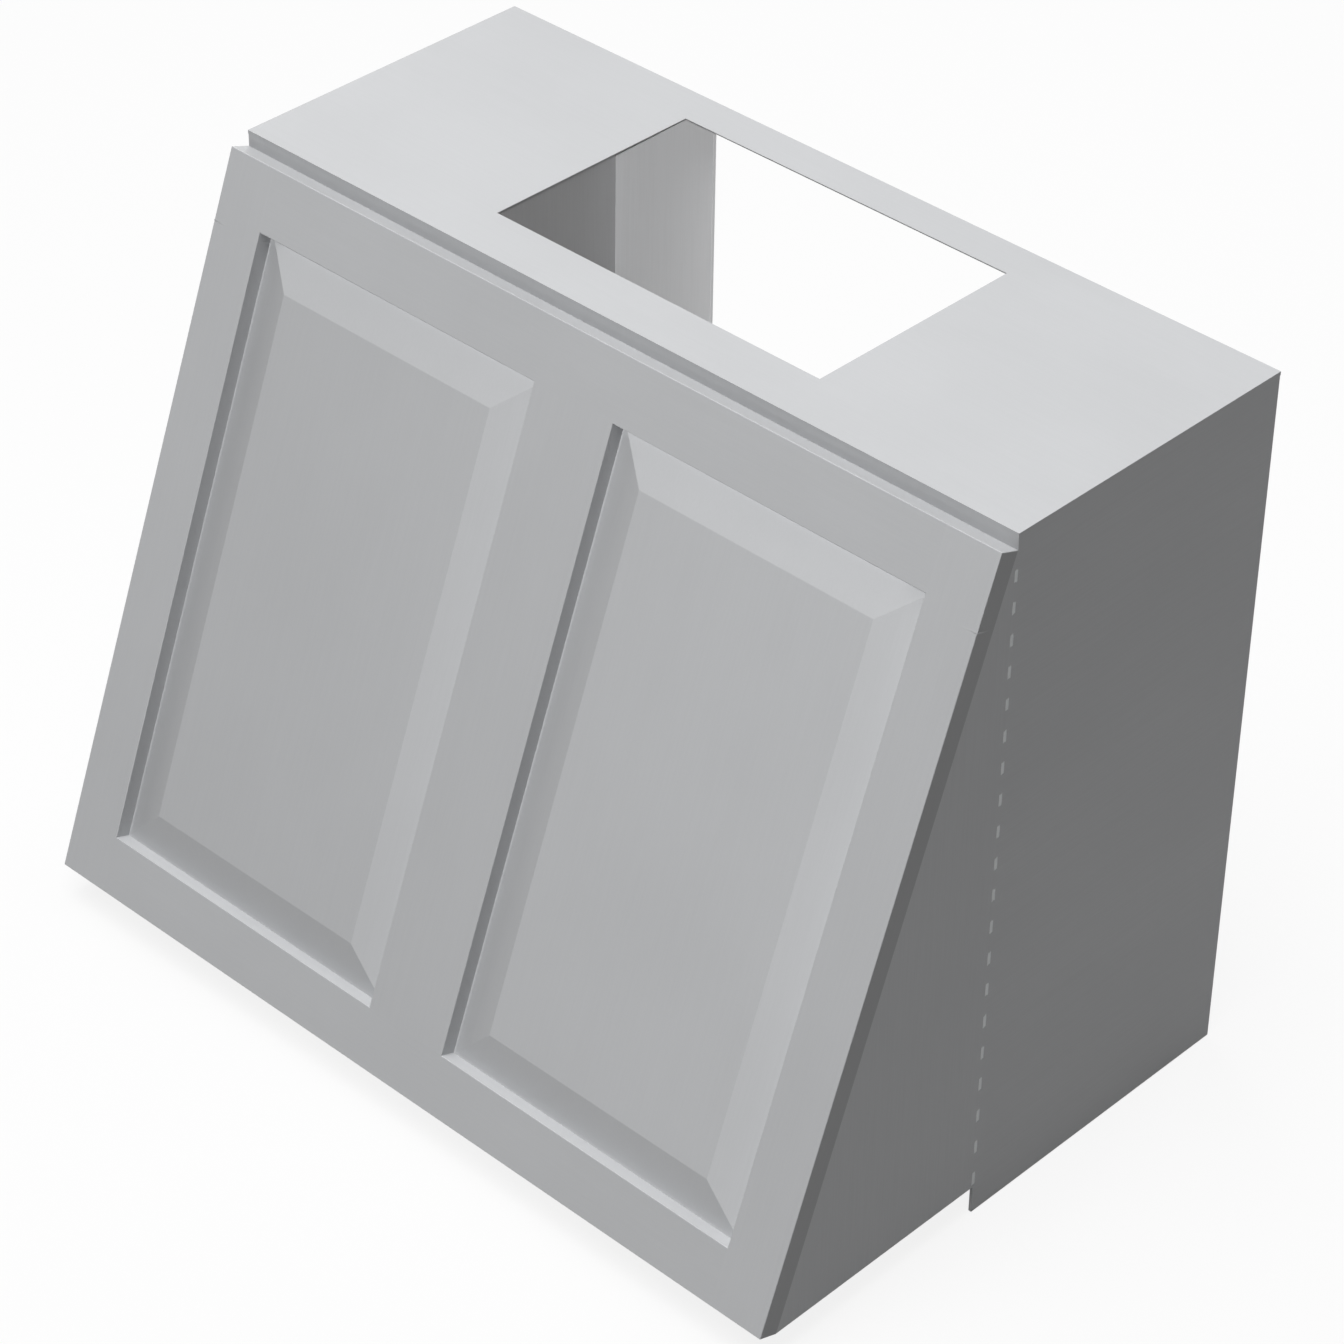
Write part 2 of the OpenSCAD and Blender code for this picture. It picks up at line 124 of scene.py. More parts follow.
def cover_ends(start, end, near):
    """The points along an arris where a neighbour's cover starts or stops."""
    steps = max(2, math.ceil((end - start).length / look_step))
    marks = [(k + 0.5) / steps for k in range(steps)]
    covered = [is_covered(start.lerp(end, mark), near) for mark in marks]
    ends = []
    for k in range(steps - 1):
        if covered[k] != covered[k + 1]:
            low, high = marks[k], marks[k + 1]
            for _ in range(halvings):
                middle = (low + high) / 2
                if is_covered(start.lerp(end, middle), near) == covered[k]:
                    low = middle
                else:
                    high = middle
            ends.append(start.lerp(end, (low + high) / 2))
    return ends


def arrises(shape):
    """The long edges at which two faces of a board meet in an outer corner."""
    return [
        edge
        for edge in shape.edges
        if edge.is_manifold
        and edge.calc_length() > shortest_arris
        and edge.calc_face_angle_signed(0) > arris_angle
    ]


def sawn_shape(node):
    """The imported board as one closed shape, its flat faces whole again."""
    shape = bmesh.new()
    shape.from_mesh(frame["nodes"][node].data)
    bmesh.ops.remove_doubles(shape, verts=shape.verts, dist=merge_gap)
    bmesh.ops.dissolve_limit(
        shape, angle_limit=flat_angle, verts=shape.verts, edges=shape.edges
    )
    return shape


def ease(shape, node, width):
    """Rounds the arrises that no other board covers, as far as they are free."""
    near = boards_against(node)
    cuts = {}
    for edge in arrises(shape):
        start, end = (v.co.copy() for v in edge.verts)
        run = (end - start).normalized()
        for point in cover_ends(start, end, near):
            key = tuple(round(c, 2) for c in run) + (round(point.dot(run) / touch_gap),)
            cuts[key] = (point, run)
    for point, run in cuts.values():
        bmesh.ops.bisect_plane(
            shape,
            geom=shape.verts[:] + shape.edges[:] + shape.faces[:],
            dist=merge_gap,
            plane_co=point,
            plane_no=run,
        )
    free = []
    for edge in arrises(shape):
        start, end = (v.co for v in edge.verts)
        looks = [start.lerp(end, share) for share in look_shares]
        if not any(is_covered(look, near) for look in looks):
            free.append(edge)
    rounded = bmesh.ops.bevel(
        shape,
        geom=free,
        offset=width,
        offset_type="OFFSET",
        segments=round_steps,
        profile=0.5,
        affect="EDGES",
        clamp_overlap=False,
        loop_slide=True,
    )
    # The arris layer says where the paint is lighter, as rubbed wear and as a painted
    # highlight.
    worn_and_highlit = shape.verts.layers.float.get("arris") or shape.verts.layers.float.new("arris")
    round_faces = set(rounded["faces"])
    for face in shape.faces:
        face.smooth = face in round_faces or face.calc_area() < hole_facet
    for vertex in rounded["verts"]:
        if vertex.is_valid:
            all_round = all(face in round_faces for face in vertex.link_faces)
            vertex[worn_and_highlit] = 1.0 if all_round else fringe_wear_and_highlight


def lay_grain(shape, along, across, heart):
    """Stores where each point lies along, across and through the tree it came from."""
    through = along.cross(across)
    middle = sum((v.co for v in shape.verts), Vector()) / len(shape.verts)
    place = shape.verts.layers.float_vector.new("grain_at")
    for vertex in shape.verts:
        off = vertex.co - middle
        vertex[place] = (
            off.dot(along) + heart[0],
            off.dot(across) + heart[1],
            off.dot(through) + heart[2],
        )


def finished(name, shape, nodes, slot, *materials):
    """Turns a shape into the shown piece that stands for its packed boards."""
    for edge in shape.edges:
        edge.smooth = edge.is_manifold and edge.calc_face_angle(0) < sharp_angle
    mesh = bpy.data.meshes.new(name)
    shape.to_mesh(mesh)
    shape.free()
    for material in materials:
        mesh.materials.append(material)
    piece = bpy.data.objects.new(name, mesh)
    bpy.context.scene.collection.objects.link(piece)
    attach(piece, "root")
    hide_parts(*nodes)
    return piece


def put(tree, kind, sockets=None, **options):
    """Adds a shader node, sets its options, and fills or links its sockets."""
    made = tree.nodes.new("ShaderNode" + kind)
    for name, value in options.items():
        setattr(made, name, value)
    for name, value in (sockets or {}).items():
        if isinstance(value, bpy.types.NodeSocket):
            tree.links.new(value, made.inputs[name])
        else:
            made.inputs[name].default_value = value
    return made


def reckon(tree, operation, *values):
    """One sum on values or sockets."""
    return put(tree, "Math", dict(enumerate(values)), operation=operation).outputs[0]


def spread(tree, value, low, high, to_low=0.0, to_high=1.0):
    """Stretches a value's range, with the ends held."""
    sockets = {"Value": value, "From Min": low, "From Max": high}
    sockets.update({"To Min": to_low, "To Max": to_high})
    return put(tree, "MapRange", sockets, interpolation_type="SMOOTHSTEP").outputs[0]


def blend_colours(tree, share, first, second):
    """A colour between two others."""
    mix = put(tree, "Mix", {0: share, 6: first, 7: second}, data_type="RGBA")
    return mix.outputs[2]


def effect(name, inputs, outputs):
    """An empty effect that materials share, with its named sockets."""
    group = bpy.data.node_groups.new(name, "ShaderNodeTree")
    for label, kind, value in inputs:
        socket = group.interface.new_socket(
            label, in_out="INPUT", socket_type="NodeSocket" + kind
        )
        socket.default_value = value
    for label in outputs:
        group.interface.new_socket(label, in_out="OUTPUT", socket_type="NodeSocketFloat")
    return group, group.nodes.new("NodeGroupInput"), group.nodes.new("NodeGroupOutput")


def stretched_noise(tree, at, scale, detail=2.0, roughness=0.5):
    """Noise whose patches are as long as the scale says each way."""
    longer = put(tree, "VectorMath", {0: at, 1: scale}, operation="MULTIPLY")
    sockets = {"Vector": longer.outputs[0], "Scale": 1.0, "Detail": detail}
    sockets["Roughness"] = roughness
    return put(tree, "TexNoise", sockets).outputs[0]


sway_scale = (1.6, 16, 16)
fibre_scale = (14, 900, 900)
pore_scale = (70, 2600, 2600)
late_wood_rise = 2.4
late_wood_end = 0.90


def timber_effect():
    """Growth rings round the heart, fibres along the grain, and open pores."""
    inputs = [("At", "Vector", (0, 0, 0)), ("Ring", "Float", 0.004)]
    inputs += [("Wander", "Float", 1.5)]
    group, given, result = effect("timber", inputs, ["Rings", "Fibre", "Pores"])
    at = given.outputs["At"]
    parts = put(group, "SeparateXYZ", {0: at})
    round_heart = put(group, "CombineXYZ", {"Y": parts.outputs[1], "Z": parts.outputs[2]})
    radius = put(group, "VectorMath", {0: round_heart.outputs[0]}, operation="LENGTH")
    sway = stretched_noise(group, at, sway_scale, 3)
    swayed = reckon(group, "MULTIPLY", sway, given.outputs["Wander"])
    count = reckon(group, "DIVIDE", radius.outputs[1], given.outputs["Ring"])
    year = reckon(group, "FRACT", reckon(group, "ADD", count, swayed))
    late = reckon(group, "POWER", year, late_wood_rise)
    winter = spread(group, year, late_wood_end, 1.0, 1.0, 0.0)
    group.links.new(reckon(group, "MULTIPLY", late, winter), result.inputs["Rings"])
    fibre = stretched_noise(group, at, fibre_scale, 3, 0.6)
    group.links.new(spread(group, fibre, 0.3, 0.7), result.inputs["Fibre"])
    pores = stretched_noise(group, at, pore_scale, 1)
    group.links.new(spread(group, pores, 0.60, 0.72), result.inputs["Pores"])
    return group


cloud_scale = (7, 10, 10)
mist_scale = (850, 850, 850)
peel_scale = (420, 420, 420)


def sprayed_effect():
    """A sprayed film: slow clouds of thickness, fine mist specks and orange peel."""
    group, given, result = effect(
        "sprayed film", [("At", "Vector", (0, 0, 0))], ["Cloud", "Mist", "Peel"]
    )
    at = given.outputs["At"]
    cloud = stretched_noise(group, at, cloud_scale, 3)
    group.links.new(spread(group, cloud, 0.3, 0.7), result.inputs["Cloud"])
    mist = stretched_noise(group, at, mist_scale, 2, 0.7)
    group.links.new(spread(group, mist, 0.3, 0.7), result.inputs["Mist"])
    peel = stretched_noise(group, at, peel_scale, 1)
    group.links.new(peel, result.inputs["Peel"])
    return group


# Lighter paint along eased arrises, partly rubbed wear and partly a painted highlight.
rub_and_highlight_scale = (60, 60, 60)
least_rub_and_highlight = 0.25


def rub_and_highlight_effect():
    """How far an arris is lightened, in patches along it: partly paint rubbed thin, partly a
    painted highlight.
    """
    group, given, result = effect("rubbed arris with painted highlight", [("At", "Vector", (0, 0, 0))], ["Rub"])
    arris = put(group, "Attribute", attribute_name="arris", attribute_type="GEOMETRY")
    patches = stretched_noise(group, given.outputs["At"], rub_and_highlight_scale, 3, 0.6)
    patchy = spread(group, patches, 0.35, 0.75, least_rub_and_highlight, 1.0)
    rub_and_highlight = reckon(group, "MULTIPLY", arris.outputs["Fac"], patchy)
    group.links.new(rub_and_highlight, result.inputs["Rub"])
    return group


timber = timber_effect()
sprayed_film = sprayed_effect()
arris_rub_and_highlight = rub_and_highlight_effect()


grey_red = 0.986
grey_blue = 1.022


def grey(tone, warmth=0.0):
    """The object's cool grey at a given strength."""
    return (tone * (grey_red + warmth), tone, tone * (grey_blue - warmth), 1)


paint_shine = 0.35
paint_tone = 0.5
cloud_share = 0.45
mist_share = 0.25
thick_film = 0.975
thin_film = 1.03
rubbed_and_highlit_film = 1.25
most_rub_and_highlight = 0.28
mist_in_gloss = 0.6
film_depth = 0.02 * MM


def painted(name, tone, roughness, telegraph, warmth=0.0):
    """Satin paint over sealed wood, whose grain shows faintly through the film."""
    material = bpy.data.materials.new(name)
    material.use_nodes = True
    tree = material.node_tree
    shader = tree.nodes["Principled BSDF"]
    shader.inputs["Specular IOR Level"].default_value = paint_shine
    place = put(tree, "Attribute", attribute_name="grain_at", attribute_type="GEOMETRY")
    at = place.outputs["Vector"]
    grain = put(tree, "Group", node_tree=timber)
    tree.links.new(at, grain.inputs["At"])
    film = put(tree, "Group", node_tree=sprayed_film)
    tree.links.new(at, film.inputs["At"])
    worn_and_highlit = put(tree, "Group", node_tree=arris_rub_and_highlight)
    tree.links.new(at, worn_and_highlit.inputs["At"])

    slow = reckon(tree, "MULTIPLY", film.outputs["Cloud"], cloud_share)
    fine = reckon(tree, "MULTIPLY", film.outputs["Mist"], mist_share)
    streak = reckon(tree, "MULTIPLY", grain.outputs["Fibre"], telegraph)
    share = reckon(tree, "ADD", reckon(tree, "ADD", slow, fine), streak)
    thick, thin = grey(tone * thick_film, warmth), grey(tone * thin_film, warmth)
    ground = blend_colours(tree, share, thick, thin)
    # The arrises' lighter grey is rubbed wear and also a painted highlight.
    rub_and_highlight = reckon(tree, "MULTIPLY", worn_and_highlit.outputs["Rub"], most_rub_and_highlight)
    colour = blend_colours(tree, rub_and_highlight, ground, grey(tone * rubbed_and_highlit_film, warmth))
    tree.links.new(colour, shader.inputs["Base Color"])

    misty = reckon(tree, "MULTIPLY", film.outputs["Mist"], mist_in_gloss)
    uneven = reckon(tree, "ADD", misty, slow)
    rough = spread(tree, uneven, 0.0, 1.0, roughness - 0.04, roughness + 0.06)
    tree.links.new(rough, shader.inputs["Roughness"])

    rings = reckon(tree, "MULTIPLY", grain.outputs["Rings"], telegraph * 0.5)
    height = reckon(tree, "ADD", reckon(tree, "ADD", film.outputs["Peel"], streak), rings)
    bump = put(tree, "Bump", {"Height": height, "Strength": 0.35, "Distance": film_depth})
    tree.links.new(bump.outputs[0], shader.inputs["Normal"])
    return material


paint = painted("satin grey paint", paint_tone, 0.36, 0.35)
board_ease = 0.7 * MM

for number, side in enumerate(("left", "right")):
    node = side + "_box_side"
    shape = sawn_shape(node)
    ease(shape, node, board_ease)
    lay_grain(shape, level_y, upright, (0.9 + number, 0.21, 0.33))
    finished(node + "_board", shape, [node], "paint", paint)

# Top panel
# One sheet of 3 mm plywood pinned down on the box, with a sawn rectangular cut-out for
# the duct, whose edge is planed thin from beneath. The pins' heads are filled and
# painted over, so nothing of them shows.

sheet_ease = 0.35 * MM
duct_half_w = 160 * MM
duct_d = 200 * MM
duct_back = 35 * MM
duct_edge = 1.0 * MM
duct_relief = 3.0 * MM


def sheet_with_opening(low, high, hole_low, hole_high):
    """A flat sheet with a rectangular opening, whose edge is planed thin from beneath."""
    shape = bmesh.new()

    def outline(a, b, z):
        corners = ((a.x, a.y), (b.x, a.y), (b.x, b.y), (a.x, b.y))
        return [shape.verts.new((x, y, z)) for x, y in corners]

    wider = Vector((duct_relief, duct_relief, 0))
    under = outline(low, high, low.z)
    hole_under = outline(hole_low - wider, hole_high + wider, low.z)
    hole_edge = outline(hole_low, hole_high, high.z - duct_edge)
    over = outline(low, high, high.z)
    hole_over = outline(hole_low, hole_high, high.z)
    for k in range(4):
        n = (k + 1) % 4
        shape.faces.new((under[n], under[k], hole_under[k], hole_under[n]))
        shape.faces.new((over[k], over[n], hole_over[n], hole_over[k]))
        shape.faces.new((under[k], under[n], over[n], over[k]))
        shape.faces.new((hole_edge[n], hole_edge[k], hole_over[k], hole_over[n]))
        shape.faces.new((hole_under[n], hole_under[k], hole_edge[k], hole_edge[n]))
    return shape


top_low, top_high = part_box("top_panel")
hole_high = Vector((duct_half_w, top_high.y - duct_back, top_high.z))
hole_low = Vector((-duct_half_w, hole_high.y - duct_d, top_low.z))
shape = sheet_with_opening(top_low, top_high, hole_low, hole_high)
ease(shape, "top_panel", sheet_ease)
lay_grain(shape, level_x, level_y, (3.1, 0.4, 0.52))
finished("top_panel_sheet", shape, ["top_panel"], "paint", paint)

# Front top rail and rear batten
# The rail is an 18 mm board between the box sides, and its upper strip is the upright
# face above the sloped front. The batten is bare pine glued under the sheet's rear edge.

shape = sawn_shape("front_top_rail")
ease(shape, "front_top_rail", board_ease)
lay_grain(shape, level_x, upright, (2.3, 0.13, 0.4))
finished("front_top_rail_board", shape, ["front_top_rail"], "paint", paint)


fibre_share = 0.30
bleach_share = 0.35
fibre_dark = 0.82
pore_dark = 0.45
planed_depth = 0.06 * MM


def bare_wood(name, early, late, ring, wander, pore_share, roughness):
    """Planed wood without a finish, with its rings, fibres and pores."""
    material = bpy.data.materials.new(name)
    material.use_nodes = True
    tree = material.node_tree
    shader = tree.nodes["Principled BSDF"]
    place = put(tree, "Attribute", attribute_name="grain_at", attribute_type="GEOMETRY")
    at = place.outputs["Vector"]
    grain = put(tree, "Group", node_tree=timber)
    tree.links.new(at, grain.inputs["At"])
    grain.inputs["Ring"].default_value = ring
    grain.inputs["Wander"].default_value = wander
    film = put(tree, "Group", node_tree=sprayed_film)
    tree.links.new(at, film.inputs["At"])
    worn_and_highlit = put(tree, "Group", node_tree=arris_rub_and_highlight)
    tree.links.new(at, worn_and_highlit.inputs["At"])

    ringed = blend_colours(tree, grain.outputs["Rings"], early, late)
    duller = tuple(fibre_dark * c for c in late[:3]) + (1,)
    fibre = reckon(tree, "MULTIPLY", grain.outputs["Fibre"], fibre_share)
    fibred = blend_colours(tree, fibre, ringed, duller)
    cloud = reckon(tree, "MULTIPLY", film.outputs["Cloud"], bleach_share)
    clouded = blend_colours(tree, cloud, fibred, early)
    pored = reckon(tree, "MULTIPLY", grain.outputs["Pores"], pore_share)
    darkest = tuple(pore_dark * c for c in late[:3]) + (1,)
    colour = blend_colours(tree, pored, clouded, darkest)
    tree.links.new(colour, shader.inputs["Base Color"])
    rough = spread(
        tree, grain.outputs["Rings"], 0.0, 1.0, roughness + 0.06, roughness - 0.08
    )
    tree.links.new(rough, shader.inputs["Roughness"])
    fuzz = reckon(tree, "MULTIPLY", grain.outputs["Fibre"], 0.6)
    height = reckon(tree, "ADD", fuzz, grain.outputs["Rings"])
    lower = reckon(tree, "SUBTRACT", height, pored)
    bump = put(tree, "Bump", {"Height": lower, "Strength": 0.5, "Distance": planed_depth})
    tree.links.new(bump.outputs[0], shader.inputs["Normal"])
    return material


pine = bare_wood(
    "planed pine",
    (0.66, 0.47, 0.27, 1),
    (0.50, 0.29, 0.13, 1),
    ring=3.4 * MM,
    wander=2.2,
    pore_share=0.10,
    roughness=0.62,
)
shape = sawn_shape("rear_top_batten")
ease(shape, "rear_top_batten", board_ease)
lay_grain(shape, level_x, upright, (0.7, 0.045, 0.02))
finished("rear_top_batten_stick", shape, ["rear_top_batten"], "cleat_wood", pine)

# Partitions, bay floors and back panels
# Thin plywood that closes the two side bays of the box. Seen only through the duct
# cut-out and from below or behind, so it has one thin flat coat and shows its fibres.

inside_paint = painted("thin grey coat", 0.49, 0.52, 0.8, 0.004)
thin_ease = 0.4 * MM

for number, side in enumerate(("left", "right")):
    for node, along, across in (
        (side + "_partition", upright, level_y),
        (side + "_bay_floor", level_y, level_x),
        (side + "_back_panel", upright, level_x),
    ):
        shape = sawn_shape(node)
        ease(shape, node, thin_ease)
        lay_grain(shape, along, across, (1.7 + number, 0.5 + 0.3 * number, 0.61))
        finished(node + "_board", shape, [node], "paint_inside", inside_paint)

# Hanging rails and liner ledgers
# Bare planed pine. The rails take the wall screws across the back, and the ledgers are
# glued and screwed along the partitions' feet, where the hood's liner hangs from them.

pine_sticks = (
    ("lower_hanging_rail", level_x, upright, (0.0, 0.050, 0.022)),
    ("left_upper_hanging_rail", level_x, upright, (1.3, -0.030, 0.034)),
    ("right_upper_hanging_rail", level_x, upright, (2.1, 0.012, 0.041)),
    ("left_liner_ledger", level_y, upright, (3.3, 0.035, 0.012)),
    ("right_liner_ledger", level_y, upright, (4.2, -0.028, 0.026)),
)
for node, along, across, heart in pine_sticks:
    shape = sawn_shape(node)
    ease(shape, node, board_ease)
    lay_grain(shape, along, across, heart)
    finished(node + "_stick", shape, [node], "cleat_wood", pine)

# Side wings
# A three-cornered board stands in front of each box side and carries the sloped front.
# It meets the box in an upright butt seam, filled flush, where pale filler has come
# through the paint in short dashes.

seam_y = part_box("left_side_wing")[1].y
seam_top = 0.583
seam_foot = 0.025
seam_half_w = 1.6 * MM
fray_scale = (500, 500, 260)
fray_depth = 0.6 * MM
soft_edge = 1.35
filler_colour = (0.96, 0.99, 1.0, 1)

# The row of dashes: where it is counted from, how close they stand, and how much
# closer near the top
first_dash = 0.5758
dash_shift = 0.44
dashes_a_metre = 38.2
dashes_drawn_up = -5.75
dash_shake = 0.12
dash_end = 0.21
dash_core = 0.16


def filled_seam_effect():
    """Short dashes of filler along an upright seam at a given depth."""
    inputs = [("Seam", "Float", 0.0), ("Half Width", "Float", seam_half_w)]
    group, given, result = effect("filled seam", inputs, ["Filler"])
    here = put(group, "TexCoord")
    parts = put(group, "SeparateXYZ", {0: here.outputs["Object"]})
    frayed = stretched_noise(group, here.outputs["Object"], fray_scale, 3)
    off_seam = reckon(group, "SUBTRACT", parts.outputs[1], given.outputs["Seam"])
    away = reckon(group, "ABSOLUTE", off_seam)
    ragged = reckon(group, "ADD", away, reckon(group, "MULTIPLY", frayed, fray_depth))
    wide = given.outputs["Half Width"]
    wider = reckon(group, "MULTIPLY", wide, soft_edge)
    close = spread(group, ragged, wider, wide, 0.0, 1.0)
    down = reckon(group, "SUBTRACT", first_dash, parts.outputs[2])
    bent = reckon(group, "MULTIPLY", reckon(group, "MULTIPLY", down, down), dashes_drawn_up)
    count = reckon(group, "ADD", reckon(group, "MULTIPLY", down, dashes_a_metre), bent)
    shaken = reckon(group, "ADD", count, reckon(group, "MULTIPLY", frayed, dash_shake))
    along = reckon(group, "FRACT", reckon(group, "ADD", shaken, dash_shift))
    from_middle = reckon(group, "ABSOLUTE", reckon(group, "SUBTRACT", along, 0.5))
    dash = spread(group, from_middle, dash_end, dash_core)
    below_top = reckon(group, "LESS_THAN", parts.outputs[2], seam_top)
    above_foot = reckon(group, "GREATER_THAN", parts.outputs[2], seam_foot)
    span = reckon(group, "MULTIPLY", below_top, above_foot)
    filler = reckon(group, "MULTIPLY", reckon(group, "MULTIPLY", close, dash), span)
    group.links.new(filler, result.inputs["Filler"])
    return group


filled_seam = filled_seam_effect()


def with_filled_seam(material, seam):
    """Lets filler show along the seam of a painted material."""
    tree = material.node_tree
    shader = tree.nodes["Principled BSDF"]
    marks = put(tree, "Group", node_tree=filled_seam)
    marks.inputs["Seam"].default_value = seam
    under = shader.inputs["Base Color"].links[0].from_socket
    shown = blend_colours(tree, marks.outputs["Filler"], under, filler_colour)
    tree.links.new(shown, shader.inputs["Base Color"])
    return material


seam_paint = with_filled_seam(
    painted("grey paint over seam", paint_tone, 0.40, 0.8), seam_y
)
for number, side in enumerate(("left", "right")):
    bpy.data.objects[side + "_box_side_board"].data.materials[0] = seam_paint
    node = side + "_side_wing"
    shape = sawn_shape(node)
    ease(shape, node, board_ease)
    lay_grain(shape, upright, level_y, (1.4 + number, 0.31, 0.27))
    finished(node + "_board", shape, [node], "paint", seam_paint)

# Cleats behind the seams and the front
# Square and splayed sticks of bare pine, glued and screwed inside, that join the wings
# to the box and give the front frame something to be screwed to.

slope = math.radians(20.5)
up_slope = Vector((0, math.sin(slope), math.cos(slope)))
pine_cleats = (
    ("left_seam_cleat", upright, level_y, (5.1, 0.030, 0.020)),
    ("right_seam_cleat", upright, level_y, (6.3, -0.022, 0.031)),
    ("left_front_cleat", up_slope, level_x, (7.2, 0.018, 0.024)),
    ("right_front_cleat", up_slope, level_x, (8.4, -0.040, 0.019)),
    ("centre_front_cleat", up_slope, level_x, (9.6, 0.052, 0.028)),
    ("bottom_front_cleat", level_x, up_slope, (10.3, 0.015, 0.036)),
    ("top_front_wedge", level_x, up_slope, (11.7, -0.024, 0.030)),
)
for node, along, across, heart in pine_cleats:
    shape = sawn_shape(node)
    ease(shape, node, board_ease)
    lay_grain(shape, along, across, heart)
    finished(node + "_stick", shape, [node], "cleat_wood", pine)

# Sloped front frame
# Three stiles and two rails of 18 mm poplar, doweled and glued flush, then sanded as one
# before painting, so that no joint shows. Both outer edges are a darker grey, as painted
# shade.

frame_ease = 0.5 * MM
# The outer edges' darker grey is painted shade, not another finish.
painted_shade_edge_paint = painted("grey paint darkened as painted shade", 0.365, 0.5, 0.5, 0.004)
frame_boards = (
    ("left_stile", up_slope, level_x, (0.4, 0.21, 0.13)),
    ("centre_stile", up_slope, level_x, (1.2, 0.33, 0.24)),
    ("right_stile", up_slope, level_x, (2.2, 0.41, 0.31)),
    ("frame_top_rail", level_x, up_slope, (3.6, 0.28, 0.19)),
    ("frame_bottom_rail", level_x, up_slope, (4.7, 0.37, 0.22)),
)
outer_x = top_high.x
outer_gap = 0.02 * MM

for node, along, across, heart in frame_boards:
    shape = sawn_shape(node)
    ease(shape, node, frame_ease)
    lay_grain(shape, along, across, heart)
    # Faces on the frame's outer edges take the darker grey of painted shade.
    for face in shape.faces:
        if abs(face.calc_center_median().x) > outer_x - outer_gap:
            face.material_index = 1
    finished(node + "_board", shape, [node], "paint", paint, painted_shade_edge_paint)

# Raised panels
# One solid board in each opening, its field standing above wide slanting margins that
# meet in mitres. It is set in from behind and painted with the frame.

field_ease = 0.35 * MM

for number, side in enumerate(("left", "right")):
    node = side + "_raised_panel"
    shape = sawn_shape(node)
    ease(shape, node, field_ease)
    lay_grain(shape, up_slope, level_x, (1.1 + number, 0.24 + 0.2 * number, 0.17))
    finished(node + "_board", shape, [node], "paint", paint)

# Dowels
# Fluted beech dowels glued blind in the frame's and the rails' joints. They keep their
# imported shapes.


def carried_over(node, material):
    """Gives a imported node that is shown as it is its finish."""
    mesh = frame["nodes"][node].data
    for index in range(len(mesh.materials)):
        mesh.materials[index] = material


def beech():
    """Pale turned wood with short dark flecks."""
    material = bpy.data.materials.new("beech dowel")
    material.use_nodes = True
    tree = material.node_tree
    shader = tree.nodes["Principled BSDF"]
    here = put(tree, "TexCoord").outputs["Object"]
    flecks = stretched_noise(tree, here, (160, 1500, 1500), 2)
    share = spread(tree, flecks, 0.4, 0.7)
    colour = blend_colours(tree, share, (0.66, 0.47, 0.30, 1), (0.45, 0.27, 0.15, 1))
    tree.links.new(colour, shader.inputs["Base Color"])
    tree.links.new(spread(tree, flecks, 0.3, 0.7, 0.5, 0.66), shader.inputs["Roughness"])
    bump = put(tree, "Bump", {"Height": flecks, "Strength": 0.4, "Distance": 0.05 * MM})
    tree.links.new(bump.outputs[0], shader.inputs["Normal"])
    return material


dowel_beech = beech()
for node in ("frame_dowels", "rail_dowels"):
    carried_over(node, dowel_beech)

# Screws and pins
# Steel, bright zinc plated, with washer heads and a square drive. All are driven from
# inside or behind, and the pins are set just below the face.


def zinc():
    """Bright zinc plate with faint tints, fine scuffs and a soft gloss."""
    material = bpy.data.materials.new("bright zinc")
    material.use_nodes = True
    tree = material.node_tree
    shader = tree.nodes["Principled BSDF"]
    shader.inputs["Metallic"].default_value = 1.0
    here = put(tree, "TexCoord").outputs["Object"]
    tint = spread(tree, stretched_noise(tree, here, (90, 90, 90), 3), 0.35, 0.65)
    colour = blend_colours(tree, tint, (0.60, 0.62, 0.66, 1), (0.72, 0.69, 0.60, 1))
    tree.links.new(colour, shader.inputs["Base Color"])
    scuffs = stretched_noise(tree, here, (2400, 900, 1500), 3, 0.7)
    tree.links.new(spread(tree, scuffs, 0.3, 0.7, 0.24, 0.42), shader.inputs["Roughness"])
    bump = put(tree, "Bump", {"Height": scuffs, "Strength": 0.3, "Distance": 0.02 * MM})
    tree.links.new(bump.outputs[0], shader.inputs["Normal"])
    return material


bright_zinc = zinc()
for node in sorted(fixings - {"frame_dowels", "rail_dowels"}):
    carried_over(node, bright_zinc)

# Floor and studio
# A pale seamless floor and white surroundings under large soft lamps, as in a catalogue
# picture. The floor keeps a faint shadow, and is clear when it is looked at from below.
# Some lamps are held to a few boards, so that no shadow hides the panels' margins.

floor_half = 8.0
floor_drop = 0.2 * MM
floor_white = 0.82
floor_mottle = 0.01
floor_bounce = 0.30
floor_glow = 0.86


